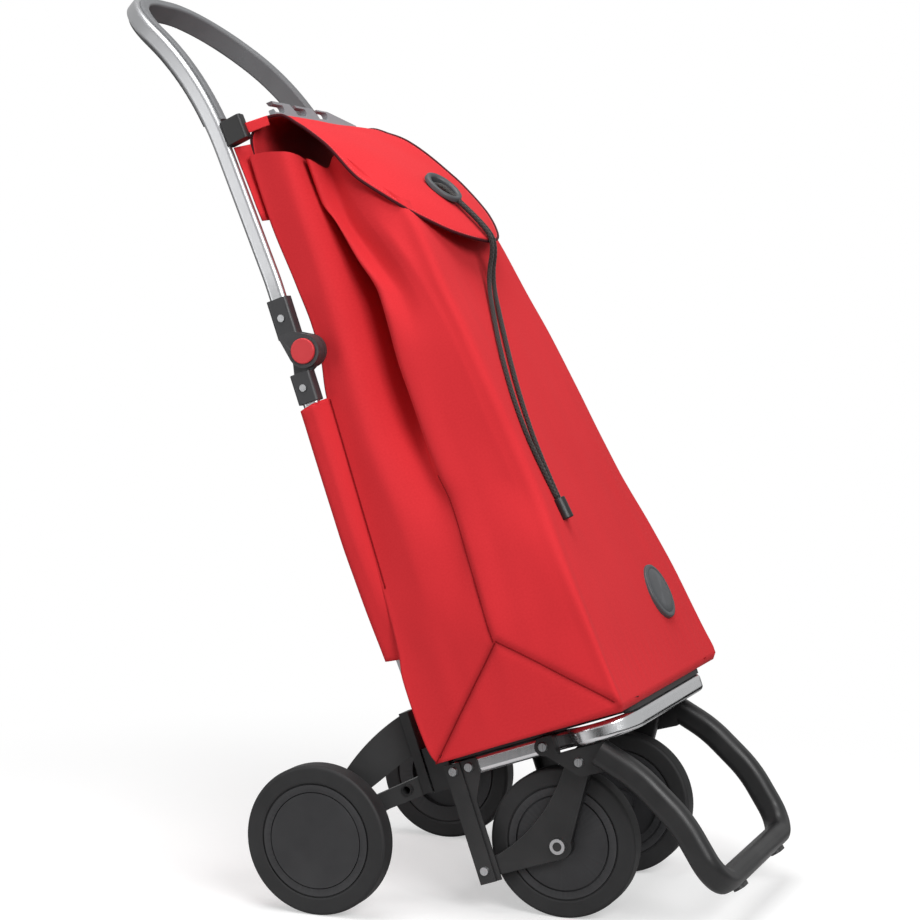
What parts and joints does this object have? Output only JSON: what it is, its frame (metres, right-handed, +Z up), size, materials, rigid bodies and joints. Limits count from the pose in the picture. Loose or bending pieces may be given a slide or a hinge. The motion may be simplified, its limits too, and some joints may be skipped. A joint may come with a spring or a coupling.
{
  "type": "shopping trolley on wheels",
  "caption": "leaning shopping trolley with a tapered soft bag, lidded flap, folding arched handle, wheels at front and rear, and a low foot bar",
  "frame": {"origin": "on the floor, midway between the front of the foot bar and the rear of the handle, on the middle plane", "axes": "+Z up, -Y the front (foot bar and bag front), +Y the handle side, +X the left side of the trolley"},
  "size_m": [0.41, 0.7584, 1.0231],
  "materials": {
    "bright_tube": "brushed bright",
    "chrome_loop": "polished",
    "black_plastic": "matt moulded",
    "black_steel": "satin black paint",
    "steel": "bright zinc",
    "tyre": "matt",
    "wheel_plastic": "matt moulded",
    "red_cloth": "woven polyester",
    "board": "matt sheet",
    "grey_plastic": "satin moulded",
    "red_plastic": "gloss",
    "grip": "soft touch",
    "cord": "braided"
  },
  "bodies": {
    "frame": {"base_loop": "chrome_loop", "rear_cross_tube": "black_steel", "foot_bar": "black_plastic", "foot_pads": "black_plastic", "front_axle": "steel", "axle_rings": "steel", "frame_rivets": "steel", "bag_back": "red_cloth", "bag_front": "red_cloth", "bag_floor": "red_cloth", "floor_board": "board", "base_board": "board", "rear_sleeve": "red_cloth", "badge": "grey_plastic", "lower_tube_left": "bright_tube", "lower_tube_right": "bright_tube", "corner_block_left": "black_plastic", "corner_block_right": "black_plastic", "rear_arm_left": "black_plastic", "rear_arm_right": "black_plastic", "rear_axle_left": "steel", "rear_axle_right": "steel", "fork_arm_left": "black_plastic", "fork_arm_right": "black_plastic", "strut_left": "black_steel", "strut_right": "black_steel", "gusset_left": "black_steel", "gusset_right": "black_steel", "hinge_lower_left": "black_plastic", "hinge_lower_right": "black_plastic", "hinge_pin_left": "steel", "hinge_pin_right": "steel", "bag_side_left": "red_cloth", "bag_side_right": "red_cloth"},
    "handle": {"handle_tube": "bright_tube", "handle_grip": "grip", "hinge_upper_left": "black_plastic", "hinge_upper_right": "black_plastic", "bag_clips": "grey_plastic", "hinge_screws_upper": "steel"},
    "button_left": {"release_button_left": "red_plastic"},
    "button_right": {"release_button_right": "red_plastic"},
    "bag_top": {"rear_yoke": "red_cloth", "hook_rail": "grey_plastic", "drawcord_left": "cord", "drawcord_right": "cord", "cord_end": "cord"},
    "flap": {"flap": "red_cloth", "eyelet": "grey_plastic"},
    "wheel_front_left": {"tyre_front_left": "tyre", "wheel_disc_front_left": "wheel_plastic"},
    "wheel_front_right": {"tyre_front_right": "tyre", "wheel_disc_front_right": "wheel_plastic"},
    "wheel_rear_left": {"tyre_rear_left": "tyre", "wheel_disc_rear_left": "wheel_plastic", "wheel_cap_rear_left": "wheel_plastic"},
    "wheel_rear_right": {"tyre_rear_right": "tyre", "wheel_disc_rear_right": "wheel_plastic", "wheel_cap_rear_right": "wheel_plastic"}
  },
  "joints": [
    {"name": "handle_fold", "type": "hinge", "parent": "frame", "child": "handle", "pos_m": [0, 0.0981, 0.61405], "axis": [1, 0, 0], "range_deg": [0, 95], "deforming": ["bag_back", "bag_side_left", "bag_side_right", "bag_front", "rear_sleeve"]},
    {"name": "bag_collapse", "type": "slide", "parent": "frame", "child": "bag_top", "axis": [0, -0.4531, -0.8915], "range_m": [0, 0.279]},
    {"name": "flap_lift", "type": "hinge", "parent": "bag_top", "child": "flap", "pos_m": [0, 0.14935, 0.8735], "axis": [-1, 0, 0], "range_deg": [0, 115], "deforming": ["drawcord_left", "drawcord_right"]},
    {"name": "button_press_left", "type": "slide", "parent": "handle", "child": "button_left", "axis": [-1, 0, 0], "range_m": [0, 0.0025], "stiffness_N_per_m": 900},
    {"name": "button_press_right", "type": "slide", "parent": "handle", "child": "button_right", "axis": [1, 0, 0], "range_m": [0, 0.0025], "stiffness_N_per_m": 900},
    {"name": "spin_front_left", "type": "hinge", "parent": "frame", "child": "wheel_front_left", "pos_m": [0.105, -0.18227, 0.0825], "axis": [1, 0, 0], "continuous": true},
    {"name": "spin_front_right", "type": "hinge", "parent": "frame", "child": "wheel_front_right", "pos_m": [-0.105, -0.18227, 0.0825], "axis": [1, 0, 0], "continuous": true},
    {"name": "spin_rear_left", "type": "hinge", "parent": "frame", "child": "wheel_rear_left", "pos_m": [0.192, 0.07213, 0.0825], "axis": [1, 0, 0], "continuous": true},
    {"name": "spin_rear_right", "type": "hinge", "parent": "frame", "child": "wheel_rear_right", "pos_m": [-0.192, 0.07213, 0.0825], "axis": [1, 0, 0], "continuous": true}
  ],
  "couplings": [
    {"joint": "bag_collapse", "follows": "handle_fold", "m_per_rad": 0.16767}
  ]
}
